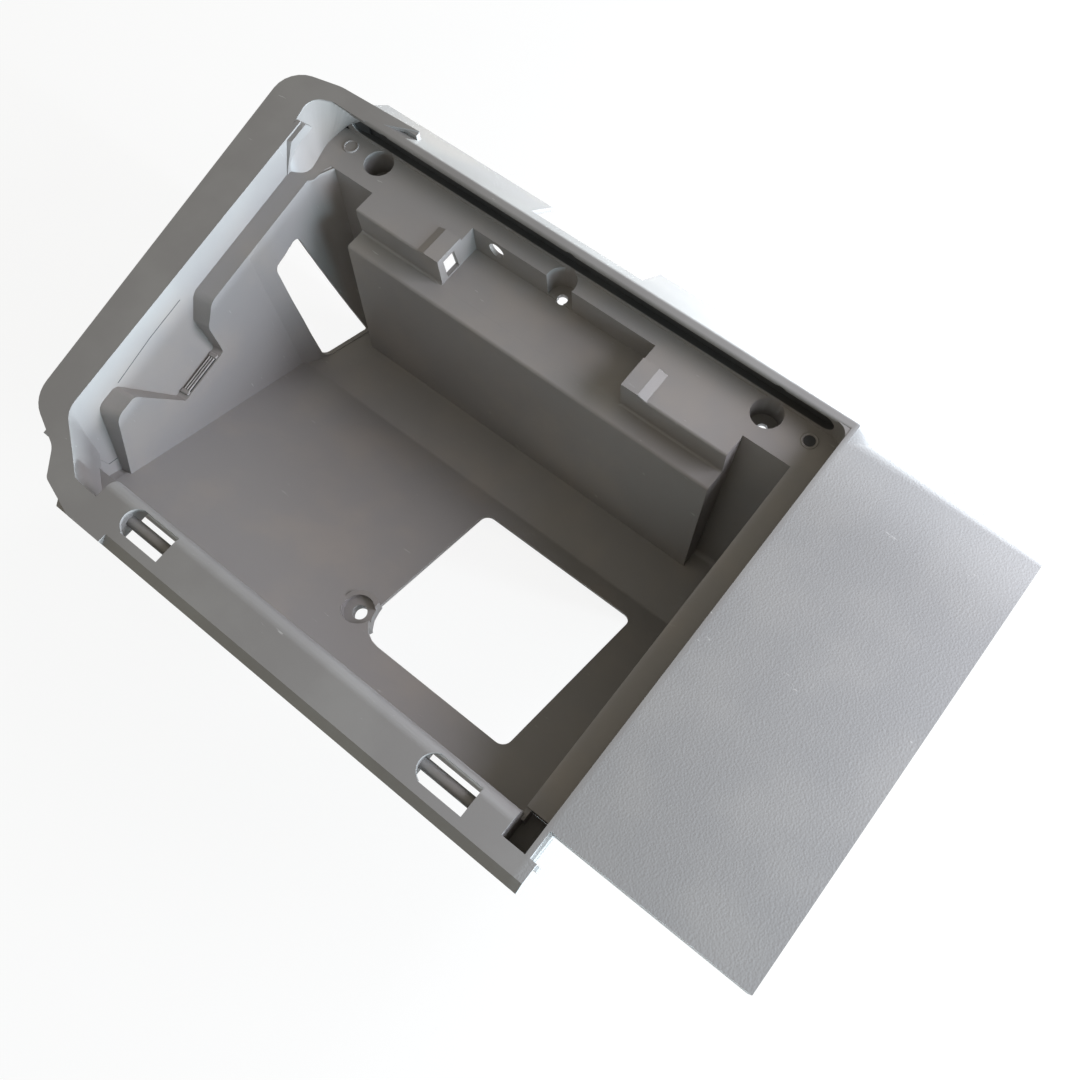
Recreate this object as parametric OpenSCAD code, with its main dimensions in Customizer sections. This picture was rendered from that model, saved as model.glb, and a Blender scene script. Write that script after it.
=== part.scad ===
// Glove box bracket: one injection-moulded housing with a hinge beam along its lower edge,
// a lid recess with ledges all round, a stepped top wall and a flat side panel.
// It lies on its back, with the opening up. Lengths are in millimetres.

/* [Housing] */
// Thickness of every moulded wall
wall = 2.6; // [2:0.1:3.4]
// Depth of the floor below the face of the rim
box_depth = 130; // [118:1:145]
// Distance from the right edge of the opening to the left wall, at the hinge
box_w = 291; // [270:1:310]
// Distance from the hinge corner of the opening to the top wall of the lid recess
recess_h = 244; // [236:1:256]
// Depth of the lid recess, from the rim to its ledge
recess_depth = 16; // [12:0.5:20]
// Angle by which the left side leans away from square
side_angle = 8.2; // [4:0.1:12]

/* [Floor and lower wall] */
// Distance from the hinge corner to the crease of the floor
crease_y = 150.5; // [140:0.5:158]
// Rise of the sloping floor towards the hinge
floor_angle = 31; // [27:0.5:34]
// Distance from the hinge corner to the foot of the deep wall
foot_y = 184.5; // [178:0.5:190]
// Radius of the corner where the floor turns
floor_round = 4; // [2:0.5:8]

/* [Stepped top wall] */
// Distance from the hinge corner to the edge of the second step
step_y = 192.5; // [188:0.5:196]
// Distance from the hinge corner to the edge of the ledge
ledge_y = 205; // [200:0.5:209]
// Height of the second step below the rim
step_depth = 34; // [28:0.5:40]
// Left end of the stepped block, from the right edge of the opening
block_left = 285.5; // [272:0.5:287]
// Right end of the stepped block, from the right edge of the opening
block_right = 42.5; // [38:0.5:48]
// Distance from the hinge corner to the wall of the end pockets, at the ledge
pocket_y = 219; // [215:0.5:224]
// The same distance at the floor
pocket_foot_y = 197; // [194:0.5:203]

/* [Latch recess] */
// Left side of the latch recess, from the right edge of the opening
latch_left = 226.5; // [215:0.5:232]
// Right side of the latch recess, from the right edge of the opening
latch_right = 106; // [98:0.5:115]
// Distance from the hinge corner to the back of the latch recess
latch_y = 234; // [231:0.5:236]
// Width of the raised pads beside the latch recess
pad_w = 10; // [7:0.5:13]
// Height of the raised pads
pad_h = 2; // [1:0.25:3]
// Diameter of the hole in the back of the latch recess
latch_hole_d = 10; // [6:0.5:12]
// Place of that hole, from the right edge of the opening
latch_hole_x = 211; // [200:0.5:216]

/* [Top screws] */
// Diameter of the screw recesses
cup_d = 17; // [13:0.5:18]
// Diameter of the screw bores
screw_d = 6; // [4:0.5:7]
// Distance between neighbouring screws
screw_pitch = 128; // [124:0.5:130]
// Place of the middle screw, from the right edge of the opening
screw_mid = 168; // [166:0.5:170]
// Distance from the hinge corner to the line of screws
screw_y = 236; // [234:0.5:237]
// Depth of the screw seats below the rim
seat_depth = 33; // [29:0.5:33]

/* [Hinge beam] */
// Distance from the hinge corner to the outer edge of the lip
lip_y = 14; // [11:0.5:17]
// Height of the outer wall of the lip
lip_drop = 14; // [10:0.5:18]
// Width of the sloping outer face of the lip
lip_chamfer = 4.8; // [3:0.2:6]
// Distance from the hinge corner to the inner wall of the beam
beam_y = 13.8; // [12:0.2:16]
// Radius of the beam's inner top edge
beam_round = 7; // [4:0.5:9]
// Length of each hinge slot
slot_len = 24; // [18:0.5:30]
// Width of each hinge slot
slot_w = 15; // [12:0.5:16]
// Middle of the right hinge slot, from the right edge of the opening
slot_right = 44; // [38:0.5:50]
// Middle of the left hinge slot, from the right edge of the opening
slot_left = 229; // [220:0.5:236]
// Diameter of the hinge pins
pin_d = 6; // [4:0.5:7]
// Depth of the pin's axis below the rim
pin_depth = 8; // [6:0.5:10]

/* [Windows and floor boss] */
// Left edge of the floor window, from the right edge of the opening
window_left = 152; // [140:1:160]
// Right edge of the floor window, from the right edge of the opening
window_right = 46; // [38:1:54]
// Upper edge of the floor window, from the hinge corner
window_top = 139; // [130:0.5:144]
// Lower edge of the floor window, from the hinge corner
window_low = 33.5; // [28:0.5:44]
// Radius of the floor window's small corners
window_r = 5; // [3:0.5:9]
// Radius of the floor window's large corner
window_big_r = 17; // [10:0.5:24]
// Place of the floor boss, from the right edge of the opening
boss_x = 151; // [146:0.5:162]
// Distance from the hinge corner to the floor boss
boss_y = 42.5; // [36:0.5:48]
// Diameter of the flat of the floor boss
boss_d = 17; // [13:0.5:20]
// Diameter of the bore of the floor boss
boss_bore = 8; // [5:0.5:9]

/* [Outer flanges] */
// Width of the left rim near the hinge
rim_low_w = 20; // [16:0.5:24]
// Width of the left rim near the top
rim_top_w = 28; // [24:0.5:31]
// Depth of the turned-down outer edge of the rim
rim_drop = 12; // [8:0.5:18]
// Depth of the channel in the top wall of the recess
channel_d = 4; // [2:0.25:5]
// Reach of the sloping top flange beyond the recess wall
brow_reach = 28; // [22:0.5:32]
// Drop of the sloping top flange at its outer edge
brow_drop = 20; // [14:0.5:24]
// Reach of the top flange in its middle notch
notch_reach = 11; // [9:0.5:16]

/* [Side panel] */
// Width of the flat side panel
panel_w = 101; // [85:1:115]
// Distance from the hinge corner to the panel's lower edge
panel_y = 14.4; // [12:0.2:18]
// Distance from the hinge corner to where the panel's top rolls over
panel_roll_y = 236; // [228:0.5:240]
// Radius of the roll where the panel meets the rim
roll_r_near = 23; // [17:0.5:26]
// Radius of the roll at the panel's outer corner
roll_r_far = 8; // [6:0.5:12]
// Depth of the panel's turned-down edges
panel_drop = 14; // [10:0.5:18]

/* [Hidden] */
$fn = 48;
t = wall;
zr = -recess_depth;
zs = -step_depth;
zb = -box_depth;
// Height of the sloping floor at a distance y from the hinge corner
function floor_z(y) = zb + (crease_y - y) * tan(floor_angle);
slant = tan(side_angle);
beam_back = beam_y - t;
left_ledge_w = 12.4;
corner_reach = 5;
ledge_end_y = 23;
flank_draft = 9;
right_ledge_w = 15;
right_gap = 1.5;
beam_end_gap = 14;
slot_y = beam_y - slot_w / 2 - 3.2;
slot_nose = 5;
beam_left = box_w - 27;
pad_len = 19;
brow_y = recess_h + 5;
pocket_depth = 34;
lip_inner = 0.6;
lip_end = 4.8;
cut = 1;
housing_colour = "#76767a";
// Inner edge of the left rim, at a distance y from the hinge corner
function rim_x(y) = -box_w - y * slant - (left_ledge_w + recess_depth * tan(flank_draft)) / cos(side_angle);
// Flank of the lid recess, seen in the frame of the left side
function flank_x(z) = -left_ledge_w + (zr - z) * tan(flank_draft);

function unit(v) = v / norm(v);
function normal_of(v) = [-v.y, v.x];
function reversed(p) = [for (i = [len(p) - 1:-1:0]) p[i]];
function arc(c, r, a0, a1, n = 8) =
    [for (i = [0:n]) c + r * [cos(a0 + (a1 - a0) * i / n), sin(a0 + (a1 - a0) * i / n)]];
// Arc that replaces corner b of the path a, b, c
function corner(a, b, c, r, n) =
    let (u = unit(a - b), v = unit(c - b), half = acos(max(-1, min(1, u * v))) / 2)
    (r <= 0 || half > 89) ? [b] :
    let (d = r / tan(half), m = b + unit(u + v) * r / sin(half), p = b + u * d, q = b + v * d,
         a0 = atan2(p.y - m.y, p.x - m.x), a1 = atan2(q.y - m.y, q.x - m.x),
         turn = a1 - a0 > 180 ? a1 - a0 - 360 : a1 - a0 < -180 ? a1 - a0 + 360 : a1 - a0)
    [for (i = [0:n]) m + r * [cos(a0 + turn * i / n), sin(a0 + turn * i / n)]];
// Open path whose corners are rounded; each point is [x, y] or [x, y, radius]
function eased(p, n = 5) = [for (i = [0:len(p) - 1])
    each (i == 0 || i == len(p) - 1 || len(p[i]) < 3) ? [[p[i].x, p[i].y]] :
        corner([p[i - 1].x, p[i - 1].y], [p[i].x, p[i].y], [p[i + 1].x, p[i + 1].y], p[i][2], n)];
function closed(p, n = 5) = let (m = len(p)) [for (i = [0:m - 1])
    each len(p[i]) < 3 ? [[p[i].x, p[i].y]] :
        corner([p[(i + m - 1) % m].x, p[(i + m - 1) % m].y], [p[i].x, p[i].y],
               [p[(i + 1) % m].x, p[(i + 1) % m].y], p[i][2], n)];
// Path moved sideways by d, with mitred corners; positive d is to the left of travel
function moved(p, d) = [for (i = [0:len(p) - 1])
    let (u = unit(p[min(i + 1, len(p) - 1)] - p[min(i, len(p) - 2)]),
         v = unit(p[max(i, 1)] - p[max(i - 1, 0)]), s = normal_of(u) + normal_of(v))
    p[i] + s * d / (1 + u * v)];
function strip(p, d) = concat(p, reversed(moved(p, d)));

// Shapes drawn in the plane of distance from the hinge and height, pushed out along the beam
module along_x(x0, x1) translate([x0, 0, 0]) rotate([90, 0, 90]) linear_extrude(height = x1 - x0) children();
// Shapes drawn in plan, pushed up from z0 to z1
module along_z(z0, z1) translate([0, 0, z0]) linear_extrude(height = z1 - z0) children();
// Shapes drawn in the plane of width and height, pushed from y0 to y1
module along_y(y0, y1) translate([0, y1, 0]) rotate([90, 0, 0]) linear_extrude(height = y1 - y0) children();
// Frame of the left side: its y runs along the wall, its x points into the box
module left_frame() translate([-box_w, 0, 0]) rotate([0, 0, side_angle]) children();

// Inner surface of the box from the pockets' wall down to the hinge beam's foot
back_path = eased([[recess_h + t / 2, zr], [pocket_y, zr], [pocket_foot_y, zb, floor_round],
    [crease_y, zb, floor_round], [beam_back, floor_z(beam_back)]]);
// Front surface of the stepped block
block_path = eased([[foot_y, zb - t / 2], [step_y, zs, 2], [ledge_y, zs, 1.5], [ledge_y, zr, 1.5],
    [pocket_y + t / 2, zr]], 4);
block_back = [[foot_y + t, zb - t - cut], [step_y + t, zs - t], [ledge_y + t, zs - t],
    [ledge_y + t, zr - t], [recess_h - t, zr - t], [recess_h - t, zb - t - cut]];

// Floor, pocket walls and ledge, from side to side
module shell() {
    difference() {
        along_x(-box_w - recess_h * slant - left_ledge_w - 3 * t, -right_gap) polygon(strip(back_path, t));
        translate([-right_ledge_w + t, -cut, zb - t - cut]) cube([right_ledge_w, recess_h, box_depth + zr]);
        left_frame() translate([-60 - t, -50, zb - 20]) cube([60, pocket_y + 50, box_depth + 20 + zr - t]);
        left_frame() translate([flank_x(0) - 60 - corner_reach, -50, zb - 20]) cube([60, recess_h + 100, box_depth + 30]);
    }
}

// Block that carries the ledge and its lower step, open behind
module stepped_block() {
    along_x(-block_left, -block_right) polygon(concat(block_path, [[pocket_foot_y + t / 2, zb - t / 2]]));
}

module block_hollow() {
    along_x(-block_left + t, -block_right - t) polygon(block_back);
}

// Latch recess cut into the ledge, with the lower step as its floor
module latch_cut() {
    along_x(-latch_left, -latch_right) polygon([[ledge_y - cut, zs], [latch_y, zs], [latch_y, cut], [ledge_y - cut, cut]]);
}

module latch_hole() {
    translate([-latch_hole_x, latch_y - cut, zr - (step_depth - recess_depth) * 0.42])
        rotate([-90, 0, 0]) cylinder(h = t + 2 * cut, d = latch_hole_d);
}

module latch_shell() {
    back = latch_y + t;
    along_x(-latch_left - t, -latch_right + t)
        polygon([[ledge_y, zs - t], [back, zs - t], [back, zr], [ledge_y, zr]]);
}

module latch_pads() {
    for (side = [[-latch_left, -1], [-latch_right, 1]])
        translate([side[0] + (side[1] < 0 ? -pad_w : 0), ledge_y, zr - cut])
            cube([pad_w, pad_len, pad_h + cut]);
}

// Cups that hold the screw heads, hanging under the ledge
module screw_cups() {
    for (i = [-1:1])
        translate([-screw_mid + i * screw_pitch, screw_y, -seat_depth - t])
            cylinder(h = seat_depth + zr + t, d = cup_d + 2 * t);
}

module screw_cuts() {
    for (i = [-1:1]) translate([-screw_mid + i * screw_pitch, screw_y, 0]) {
        translate([0, 0, -seat_depth]) cylinder(h = seat_depth - 1, d = cup_d);
        translate([0, 0, -seat_depth - 2 * t]) cylinder(h = 2 * t + cut, d = screw_d);
    }
}

// Hinge beam with its lip, and the wall that joins it to the floor
beam_path = eased([[-lip_y, -lip_drop], [-lip_y, -lip_chamfer], [-lip_y + lip_chamfer, 0],
    [beam_y, 0, beam_round], [beam_y, -pocket_depth]], 8);
lip_path = [[-lip_y, -lip_drop], [-lip_y, -lip_chamfer], [-lip_y + lip_chamfer, 0], [lip_inner, 0], [lip_inner, -pocket_depth]];
module hinge_beam() {
    along_x(-beam_left, -beam_end_gap) polygon(strip(beam_path, -t));
    for (x = [-beam_left, -beam_end_gap - t]) along_x(x, x + t)
        polygon([[lip_inner - cut, -pocket_depth], [lip_inner - cut, -cut], [beam_y - beam_round, -cut],
            [beam_y - cut, -beam_round], [beam_y - cut, -pocket_depth]]);
    along_x(-beam_end_gap, lip_end) polygon(strip(lip_path, -t));
    along_x(-box_w + 12, -beam_left + t) polygon(strip(lip_path, -t));
    along_x(-box_w - left_ledge_w - t, -right_ledge_w + t)
        polygon([[beam_back, floor_z(beam_back) - t / 2], [beam_y, floor_z(beam_y) - t / 2], [beam_y, -pocket_depth + t], [beam_back, -pocket_depth + t]]);
}

// Floors of the two small pockets beyond the ends of the beam
module end_pockets() {
    along_x(-right_ledge_w, t - right_gap) polygon([[-lip_inner, -pocket_depth], [17, -pocket_depth], [17, -pocket_depth + t], [-lip_inner, -pocket_depth + t]]);
    along_x(-box_w - left_ledge_w - t, -beam_left) polygon([[-lip_inner, -pocket_depth], [beam_y, -pocket_depth], [beam_y, -pocket_depth + t], [-lip_inner, -pocket_depth + t]]);
}

// One slot opening, with its rounded left end
module slot_plan() {
    translate([0, slot_y]) {
        square([slot_len, slot_w], center = true);
        intersection() {
            translate([-slot_len / 2 + slot_w / 2 - slot_nose, 0]) circle(d = slot_w);
            translate([-slot_len / 2 - slot_nose, -slot_w / 2]) square([slot_w / 2, slot_w]);
        }
    }
}

module hinge_slots() {
    for (x = [slot_left, slot_right]) translate([-x, 0, 0]) along_z(-pin_depth - pin_d, cut) slot_plan();
}

// Ribs under the beam at both ends of each slot, and the pin between them
module hinge_ribs() {
    for (x = [slot_left, slot_right], end = [-slot_len / 2 - slot_nose - t, slot_len / 2]) along_x(end - x, end - x + t)
        polygon([[-lip_y + t / 2, -lip_drop], [-lip_y + t / 2, -lip_chamfer], [-lip_y + lip_chamfer, -t / 2],
            [beam_y - beam_round, -t / 2], [beam_y - t / 2, -beam_round], [beam_y - t / 2, -lip_drop]]);
}

module hinge_pins() {
    for (x = [slot_left, slot_right])
        translate([-x - slot_len / 2 - slot_nose - t / 2, slot_y, -pin_depth])
            rotate([0, 90, 0]) cylinder(h = slot_len + slot_nose + t, d = pin_d);
}

// Left wall, its ledge and the flank above the ledge
ledge_path = eased([[pocket_y + 4, zr], [117, zr, 7], [107.5, zr - 12, 5], [107.5, zr - 36, 2], [72.5, zr - 36, 2],
    [52, zr + 2, 5], [38, zr + 2, 6], [ledge_end_y, floor_z(ledge_end_y)], [beam_back, floor_z(beam_back)]]);
// Lower outline of both side walls, following the floor
wall_low = [[pocket_y + t / 2, zr - t / 2], [pocket_foot_y + t / 2, zb - t / 2], [crease_y, zb - t / 2],
    [beam_back, floor_z(beam_back) - t / 2]];
module left_side() {
    flank_low = floor_z(beam_back) - 12;
    left_frame() {
        along_x(-t, 0) polygon(concat(ledge_path, reversed(wall_low)));
        intersection() {
            along_x(-40, -t / 2) polygon(strip(ledge_path, t));
            along_y(beam_back - cut, recess_h + 20)
                polygon([[flank_x(cut) - t / 2, cut], [0, cut], [0, flank_low], [flank_x(flank_low) - t / 2, flank_low]]);
        }
        intersection() {
            along_y(beam_back, recess_h - 16)
                polygon([[flank_x(0), 0], [flank_x(0) - t, 0], [flank_x(flank_low) - t, flank_low], [flank_x(flank_low), flank_low]]);
            along_x(-40, 20) polygon(concat(moved(ledge_path, t - 0.4), [[beam_back - cut, cut], [recess_h + 8, cut]]));
        }
    }
}

rim_top = recess_h + 12.6;
rim_outer = eased([[-box_w + 10, rim_top], [rim_x(0) - 30, rim_top - 2, 30], [rim_x(recess_h) - rim_top_w, recess_h + 3, 16],
    [rim_x(19) - rim_low_w, 19, 20], [rim_x(0) + 5, 6.3, 12], [rim_x(0) + 15.6, -lip_y / 2, 5],
    [rim_x(0) + 38, -lip_y, 8], [rim_x(0) + 60, -lip_y]], 6);
rim_inner = eased([[rim_x(0) + 60, lip_inner], [rim_x(0) + 27, lip_inner + 1, 4], [rim_x(24), 24, 14], [rim_x(200), 200, 40],
    [rim_x(240) - corner_reach, recess_h - 5, 9], [rim_x(240) + 8, recess_h, 6], [-box_w - 20, recess_h]], 6);
module left_rim() {
    along_z(-t, 0) polygon(concat(rim_outer, rim_inner));
    along_z(-rim_drop, -cut) polygon(strip(rim_outer, t));
    // walls of the recess at its two rounded left corners
    along_z(zr - t / 2, -cut) polygon(strip([for (p = rim_inner) if (p.y > recess_h - 30) p], t));
    along_z(-pocket_depth, -cut) polygon(strip([for (p = rim_inner) if (p.y < 40 && p.x < -box_w + 30) p], t));
}

// Corner of the recess, where the flank runs out into the ledge
module corner_fairing() {
    intersection() {
        translate([rim_x(recess_h) + 7.5, recess_h - 27, zr - 4]) rotate([0, -14, 0]) cylinder(h = 26, r1 = 19.5, r2 = 3);
        along_z(zr - t / 4, -cut) polygon([[rim_x(recess_h) - corner_reach, recess_h - 60], [rim_x(recess_h) - corner_reach, recess_h - 12],
            [rim_x(recess_h) + 12, recess_h + cut], [-box_w - 20, recess_h + cut], [-box_w - 20, recess_h - 60]]);
    }
}

// Right wall of the box, the ledge above it and the wall of the lid recess
module right_side() {
    along_x(-right_ledge_w, -right_ledge_w + t)
        polygon(concat([[beam_back, zr - t / 2]], wall_low));
    along_x(-right_ledge_w, t - 1) polygon([[17, zr], [recess_h, zr], [recess_h, zr - t], [17, zr - t]]);
    along_x(-right_gap, t - right_gap) polygon([[-2, 0], [recess_h + t, 0], [recess_h + t, zr - t], [-2, zr - t]]);
}

// Top wall of the recess with its channel, and the sloping flange above it, with a notch in its middle
module brow() {
    outer = [recess_h + brow_reach, -brow_drop];
    fall = atan2(brow_drop, outer.x - brow_y);
    dip = t / cos(fall);
    back = recess_h + channel_d + t;
    face = eased([[recess_h, zr], [recess_h, 0, 1.5], [brow_y, 0, 3], outer], 4);
    difference() {
        along_x(-box_w - 31, t - right_gap)
            polygon(concat(face, [[outer.x - 1, outer.y - t], [back, -dip - (back - brow_y) * tan(fall)], [back, zr - t], [recess_h, zr - t]]));
        along_x(-202.5, -130.5) translate([recess_h + notch_reach, -brow_drop - 10]) square([40, 40]);
    }
}

module channel() {
    h = recess_depth - 4.5;
    ends = [-box_w - 25, -9 - h / 2];
    translate([0, 0, zr / 2]) along_y(recess_h - cut, recess_h + channel_d) union() {
        for (x = ends) translate([x, 0]) circle(d = h);
        translate([ends[0], -h / 2]) square([ends[1] - ends[0], h]);
    }
}

// Section of the panel at x, for a roll of radius r, drawn in by d
module panel_face(x, r, d) {
    low = -max(r, panel_drop) - (d > 0 ? cut : 0);
    translate([x, 0, 0]) along_x(-0.05, 0.05)
        polygon(concat([[panel_y + d, low], [panel_y + d, -d]], arc([panel_roll_y, -r], r - d, 90, 0, 8),
            [[panel_roll_y + r - d, low]]));
}

module panel() {
    difference() {
        hull() {
            panel_face(-right_gap, roll_r_near, 0);
            panel_face(panel_w, roll_r_far, 0);
        }
        hull() {
            panel_face(t - right_gap, roll_r_near, t);
            panel_face(panel_w - t, roll_r_far, t);
        }
    }
}

// Window through the sloping floor
module floor_window() {
    along_z(zb - 20, -20) polygon(closed([[-window_left + 8, window_low, window_big_r], [-window_right, window_low, window_r],
        [-window_right, window_top, window_r], [-window_left, window_top, window_r]]));
}

// Round flat of the floor boss, cut level into the slope, with its bore
module floor_boss() {
    translate([-boss_x, boss_y, floor_z(boss_y) - boss_d / 2 - t]) cylinder(h = boss_d / 2 + t - 1, d = boss_d + 2 * t);
}

module floor_boss_cut() {
    seat_z = floor_z(boss_y + boss_d / 2) + 1;
    translate([-boss_x, boss_y, seat_z]) cylinder(h = boss_d, d = boss_d);
    translate([-boss_x, boss_y, seat_z - 30]) cylinder(h = 31, d = boss_bore);
}

module side_window() {
    left_frame() along_x(-t - 20, 20)
        polygon(closed([[164, -40, 4], [184, -40, 4], [202, zb + 0.6, 1], [166, zb + 0.6, 6]]));
}

module housing() {
    left_end = min([for (p = rim_outer) p.x]);
    color(housing_colour)
    translate([-(left_end + panel_w) / 2, -(recess_h + brow_reach - lip_y) / 2, box_depth + t]) {
        opened_body();
        hinge_pins();
    }
}

// The moulding with every recess, hole and window cut
module opened_body() {
    difference() {
        union() {
            difference() {
                union() {
                    shell();
                    stepped_block();
                }
                block_hollow();
            }
            latch_shell();
            latch_pads();
            screw_cups();
            hinge_beam();
            hinge_ribs();
            end_pockets();
            left_side();
            left_rim();
            corner_fairing();
            right_side();
            brow();
            panel();
            floor_boss();
        }
        latch_cut();
        latch_hole();
        screw_cuts();
        channel();
        hinge_slots();
        floor_window();
        side_window();
        floor_boss_cut();
    }
}

housing();
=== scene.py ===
"""Looks of the glove box bracket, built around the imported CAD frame."""

import logging
import math
from collections.abc import Sequence
from dataclasses import dataclass, field
from enum import Enum

import bmesh
import bpy
from mathutils import Matrix, Vector


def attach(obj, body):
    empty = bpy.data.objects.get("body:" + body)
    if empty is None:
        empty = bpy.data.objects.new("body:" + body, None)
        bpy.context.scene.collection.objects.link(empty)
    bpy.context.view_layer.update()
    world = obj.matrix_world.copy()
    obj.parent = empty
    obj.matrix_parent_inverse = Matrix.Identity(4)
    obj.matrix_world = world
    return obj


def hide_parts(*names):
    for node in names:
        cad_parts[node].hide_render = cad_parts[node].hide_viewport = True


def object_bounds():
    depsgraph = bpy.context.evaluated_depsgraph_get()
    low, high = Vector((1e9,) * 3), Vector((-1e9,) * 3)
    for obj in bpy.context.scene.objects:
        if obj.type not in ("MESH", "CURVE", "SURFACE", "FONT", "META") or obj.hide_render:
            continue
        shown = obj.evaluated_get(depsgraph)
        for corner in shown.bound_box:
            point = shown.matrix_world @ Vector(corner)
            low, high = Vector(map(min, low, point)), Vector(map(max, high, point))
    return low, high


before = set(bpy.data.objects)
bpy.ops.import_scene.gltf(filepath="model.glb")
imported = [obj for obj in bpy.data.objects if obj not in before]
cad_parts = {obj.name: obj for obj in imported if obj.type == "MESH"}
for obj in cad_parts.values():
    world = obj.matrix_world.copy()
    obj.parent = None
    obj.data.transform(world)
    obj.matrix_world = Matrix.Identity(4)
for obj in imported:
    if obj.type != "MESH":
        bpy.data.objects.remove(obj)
cad_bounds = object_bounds()

LOG = logging.getLogger("glove_box_bracket")
MM = 0.001
PANEL_WIDTH = 101.0
LIP_REACH = 14.0
WALL = 2.6
RIM_DEPTH = 16.0
FLOOR_DEPTH = 130.0
BOX_WIDTH = 291.0
RECESS_TOP = 244.0
SIDE_SLANT = math.tan(math.radians(8.2))


def hinge_corner() -> Vector:
    """Finds the point that all places are measured from.

    Returns:
        The corner between the hinge side and the right edge of the opening, on the rim's face.
    """
    low, high = cad_bounds
    return Vector((high[0] - PANEL_WIDTH * MM, low[1] + LIP_REACH * MM, high[2]))


def spot(x: float, y: float, z: float) -> Vector:
    """Gives the place of a point that is measured from the hinge corner.

    Args:
        x: Distance to the right, in millimetres.
        y: Distance from the hinge, in millimetres.
        z: Height above the rim, in millimetres.

    Returns:
        The point in the part's frame, in metres.
    """
    return hinge_corner() + Vector((x, y, z)) * MM


def rim_x(y: float) -> float:
    """Gives the inner edge of the left rim at a distance y from the hinge, in millimetres."""
    return -BOX_WIDTH - y * SIDE_SLANT - 15.09


class Path:
    """Open line of points in a plane, in millimetres."""

    def __init__(self, points: Sequence[Vector]) -> None:
        """Keeps the points."""
        self.points = list(points)

    @classmethod
    def rounded(cls, corners: Sequence[tuple[float, ...]], steps: int = 5) -> "Path":
        """Makes a line whose corners are rounded.

        Args:
            corners: Points (x, y), or (x, y, radius) where the corner is rounded.
            steps: Pieces of each rounding.

        Returns:
            The line.
        """
        points = []
        for index, corner in enumerate(corners):
            middle = Vector(corner[:2])
            if len(corner) < 3 or index in (0, len(corners) - 1):
                points.append(middle)
                continue
            back = (Vector(corners[index - 1][:2]) - middle).normalized()
            ahead = (Vector(corners[index + 1][:2]) - middle).normalized()
            half = back.angle(ahead) / 2
            start = middle + back * corner[2] / math.tan(half)
            centre = middle + (back + ahead).normalized() * corner[2] / math.sin(half)
            spoke = start - centre
            turn = math.copysign(math.pi - 2 * half, back.cross(ahead))
            points += [centre + Matrix.Rotation(-turn * step / steps, 2) @ spoke for step in range(steps + 1)]
        return cls(points)

    @classmethod
    def arc(cls, centre: tuple[float, float], radius: float, start: float, end: float, steps: int) -> "Path":
        """Makes an arc from one angle to another.

        Args:
            centre: Middle of the arc.
            radius: Radius of the arc.
            start: First angle, in degrees.
            end: Last angle, in degrees.
            steps: Pieces of the arc.

        Returns:
            The arc.
        """
        angles = [math.radians(start + (end - start) * step / steps) for step in range(steps + 1)]
        return cls([Vector(centre) + radius * Vector((math.cos(a), math.sin(a))) for a in angles])

    def shifted(self, distance: float) -> "Path":
        """Moves the line sideways, with mitred corners.

        Args:
            distance: How far to the left of its direction.

        Returns:
            The moved line.
        """
        ways = [(b - a).normalized() for a, b in zip(self.points, self.points[1:])]
        moved = []
        for index, point in enumerate(self.points):
            before, after = ways[max(index - 1, 0)], ways[min(index, len(ways) - 1)]
            side = Vector((-before.y - after.y, before.x + after.x))
            moved.append(point + side * distance / (1 + before.dot(after)))
        return Path(moved)

    def spaced(self, count: int) -> "Path":
        """Replaces the points by evenly spaced ones.

        Args:
            count: Pieces between the new points.

        Returns:
            The new line.
        """
        travel = [0.0]
        for a, b in zip(self.points, self.points[1:]):
            travel.append(travel[-1] + (b - a).length)
        spread = []
        for step in range(count + 1):
            goal = travel[-1] * step / count
            index = max(i for i in range(len(travel) - 1) if travel[i] <= goal + 1e-9)
            share = (goal - travel[index]) / (travel[index + 1] - travel[index])
            spread.append(self.points[index].lerp(self.points[index + 1], share))
        return Path(spread)


def skin(rows: Sequence[Sequence[Vector]]) -> bmesh.types.BMesh:
    """Draws a closed row of points, extrudes it through the others and fills both ends.

    Args:
        rows: Rows that all have the same number of points.

    Returns:
        The closed skin.
    """
    shape = bmesh.new()
    row = [shape.verts.new(point) for point in rows[0]]
    edges = [shape.edges.new(pair) for pair in zip(row, row[1:] + row[:1])]
    for points in rows[1:]:
        grown = bmesh.ops.extrude_edge_only(shape, edges=edges)["geom"]
        edges = [part for part in grown if isinstance(part, bmesh.types.BMEdge)]
        fresh = {part for part in grown if isinstance(part, bmesh.types.BMVert)}
        row = [next(v for v in (e.other_vert(old) for e in old.link_edges) if v in fresh) for old in row]
        for vert, point in zip(row, points):
            vert.co = point
    bmesh.ops.holes_fill(shape, edges=shape.edges, sides=0)
    bmesh.ops.recalc_face_normals(shape, faces=shape.faces)
    return shape


def prism(outline: Sequence[Vector], push: Vector) -> bmesh.types.BMesh:
    """Pushes a flat outline along a direction.

    Args:
        outline: Corners of the outline.
        push: Direction and length.

    Returns:
        The closed solid.
    """
    return skin([outline, [corner + push for corner in outline]])


def carve(piece: bpy.types.Object, cutter: bmesh.types.BMesh) -> None:
    """Cuts a solid out of a piece.

    Args:
        piece: The piece that is cut.
        cutter: The solid that goes, which is used up.
    """
    mesh = bpy.data.meshes.new("cutter")
    cutter.to_mesh(mesh)
    cutter.free()
    tool = bpy.data.objects.new("cutter", mesh)
    bpy.context.scene.collection.objects.link(tool)
    cut = piece.modifiers.new("cut", "BOOLEAN")
    cut.object = tool
    cut.operation = "DIFFERENCE"
    cut.solver = "EXACT"
    result = bpy.data.meshes.new_from_object(piece.evaluated_get(bpy.context.evaluated_depsgraph_get()))
    piece.modifiers.remove(cut)
    piece.data = result
    bpy.data.objects.remove(tool)


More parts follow.
